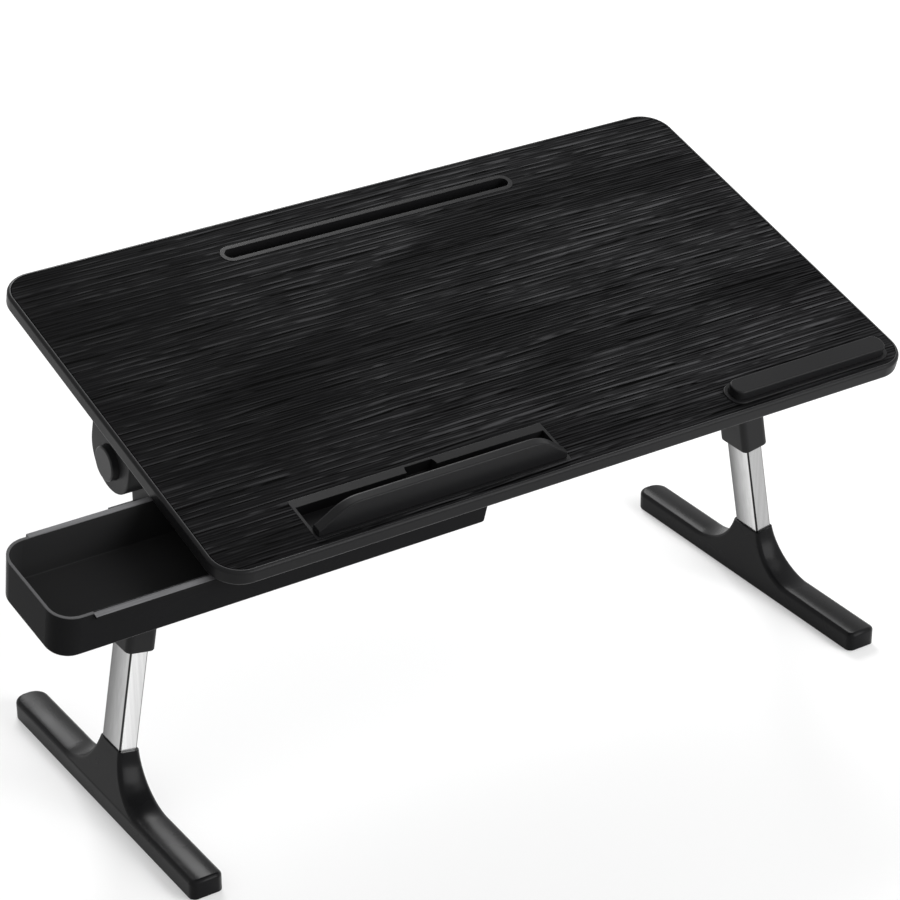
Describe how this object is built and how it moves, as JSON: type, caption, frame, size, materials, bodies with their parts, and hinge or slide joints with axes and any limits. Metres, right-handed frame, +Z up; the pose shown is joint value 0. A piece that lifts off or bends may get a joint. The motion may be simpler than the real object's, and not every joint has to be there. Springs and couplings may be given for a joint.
{
  "type": "laptop bed table",
  "caption": "Folding laptop bed table with a tilting wood-grain top, pull-out drawer, stoppers, tablet slot and splayed telescopic legs on long feet.",
  "frame": {"origin": "centre of the base of the part's box, on the plane that the foot pads stand on, with the drawer pulled out as in the picture", "axes": "+X to the right along the front edge, +Y from the front edge to the back, +Z up"},
  "size_m": [0.6348, 0.2914, 0.3218],
  "materials": {
    "wood_film": "black wood-grain film, satin",
    "trim_plastic": "satin",
    "satin_plastic": "satin",
    "gloss_plastic": "semi-gloss",
    "dark_plastic": "matte",
    "hinge_plastic": "fine-textured",
    "button_plastic": "satin",
    "liner_plastic": "matte",
    "foot_plastic": "satin-gloss",
    "polished_aluminium": "polished",
    "black_metal": "powder-coated",
    "steel": "zinc-plated",
    "pad_rubber": "matte"
  },
  "bodies": {
    "base": {"crossbar": "black_metal", "crossbar_screws": "steel", "left_end_block": "hinge_plastic", "left_tilt_axle": "steel", "left_tilt_washer": "steel", "left_fold_pin": "steel", "left_fold_washers": "steel", "right_end_block": "hinge_plastic", "right_tilt_axle": "steel", "right_tilt_washer": "steel", "right_fold_pin": "steel", "right_fold_washers": "steel"},
    "tabletop": {"tabletop_board": "wood_film", "tabletop_edge_trim": "trim_plastic", "laptop_stopper_tray": "satin_plastic", "stopper_hinge_pins": "steel", "mouse_stopper_tray": "satin_plastic", "tablet_slot_insert": "satin_plastic", "front_drawer_guide": "dark_plastic", "rear_drawer_guide": "dark_plastic", "drawer_guide_screws": "steel", "tilt_lug_screws": "steel", "left_tilt_lug": "hinge_plastic", "left_tilt_button_spring": "steel", "right_tilt_lug": "hinge_plastic", "right_tilt_button_spring": "steel"},
    "drawer": {"drawer": "gloss_plastic"},
    "laptop_stopper": {"laptop_stopper": "satin_plastic"},
    "mouse_stopper": {"mouse_stopper": "satin_plastic"},
    "left_tilt_button": {"left_tilt_button": "button_plastic"},
    "left_sleeve": {"left_leg_sleeve": "hinge_plastic", "left_sleeve_bush": "liner_plastic", "left_height_lock_spring": "steel"},
    "left_lower_leg": {"left_leg_tube": "polished_aluminium", "left_tube_plug": "liner_plastic", "left_tube_nut_block": "liner_plastic", "left_foot": "foot_plastic", "left_foot_pads": "pad_rubber", "left_foot_screws": "steel"},
    "left_height_lock_button": {"left_height_lock_button": "button_plastic"},
    "right_tilt_button": {"right_tilt_button": "button_plastic"},
    "right_sleeve": {"right_leg_sleeve": "hinge_plastic", "right_sleeve_bush": "liner_plastic", "right_height_lock_spring": "steel"},
    "right_lower_leg": {"right_leg_tube": "polished_aluminium", "right_tube_plug": "liner_plastic", "right_tube_nut_block": "liner_plastic", "right_foot": "foot_plastic", "right_foot_pads": "pad_rubber", "right_foot_screws": "steel"},
    "right_height_lock_button": {"right_height_lock_button": "button_plastic"}
  },
  "joints": [
    {"name": "tabletop_tilt", "type": "hinge", "parent": "base", "child": "tabletop", "pos_m": [0.04244, 0.01411, 0.246], "axis": [-1, 0, 0], "range_deg": [-20.8, 15.2]},
    {"name": "drawer_slide", "type": "slide", "parent": "tabletop", "child": "drawer", "axis": [1, 0, 0], "range_m": [-0.06, 0.107]},
    {"name": "laptop_stopper_fold", "type": "hinge", "parent": "tabletop", "child": "laptop_stopper", "pos_m": [-0.05851, -0.13164, 0.2435], "axis": [-1, 0, 0], "range_deg": [0, 90]},
    {"name": "mouse_stopper_press", "type": "slide", "parent": "tabletop", "child": "mouse_stopper", "axis": [0, 0.2622, -0.965], "range_m": [0, 0.0064]},
    {"name": "left_leg_fold", "type": "hinge", "parent": "base", "child": "left_sleeve", "pos_m": [-0.19146, 0.00781, 0.191], "axis": [0, -1, 0], "range_deg": [0, 100]},
    {"name": "left_leg_height", "type": "slide", "parent": "left_sleeve", "child": "left_lower_leg", "axis": [0.1736, 0, 0.9848], "range_m": [-0.018, 0.024]},
    {"name": "left_tilt_button_press", "type": "slide", "parent": "tabletop", "child": "left_tilt_button", "axis": [1, 0, 0], "range_m": [0, 0.0035], "stiffness_N_per_m": 1200, "springref_m": -0.002, "deforming": ["left_tilt_button_spring"]},
    {"name": "left_height_lock_press", "type": "slide", "parent": "left_sleeve", "child": "left_height_lock_button", "axis": [0, -1, 0], "range_m": [0, 0.0016], "stiffness_N_per_m": 1500, "springref_m": -0.001, "deforming": ["left_height_lock_spring"]},
    {"name": "right_leg_fold", "type": "hinge", "parent": "base", "child": "right_sleeve", "pos_m": [0.27634, 0.00781, 0.191], "axis": [0, 1, 0], "range_deg": [0, 100]},
    {"name": "right_leg_height", "type": "slide", "parent": "right_sleeve", "child": "right_lower_leg", "axis": [-0.1736, 0, 0.9848], "range_m": [-0.018, 0.024]},
    {"name": "right_tilt_button_press", "type": "slide", "parent": "tabletop", "child": "right_tilt_button", "axis": [-1, 0, 0], "range_m": [0, 0.0035], "stiffness_N_per_m": 1200, "springref_m": -0.002, "deforming": ["right_tilt_button_spring"]},
    {"name": "right_height_lock_press", "type": "slide", "parent": "right_sleeve", "child": "right_height_lock_button", "axis": [0, -1, 0], "range_m": [0, 0.0016], "stiffness_N_per_m": 1500, "springref_m": -0.001, "deforming": ["right_height_lock_spring"]}
  ]
}
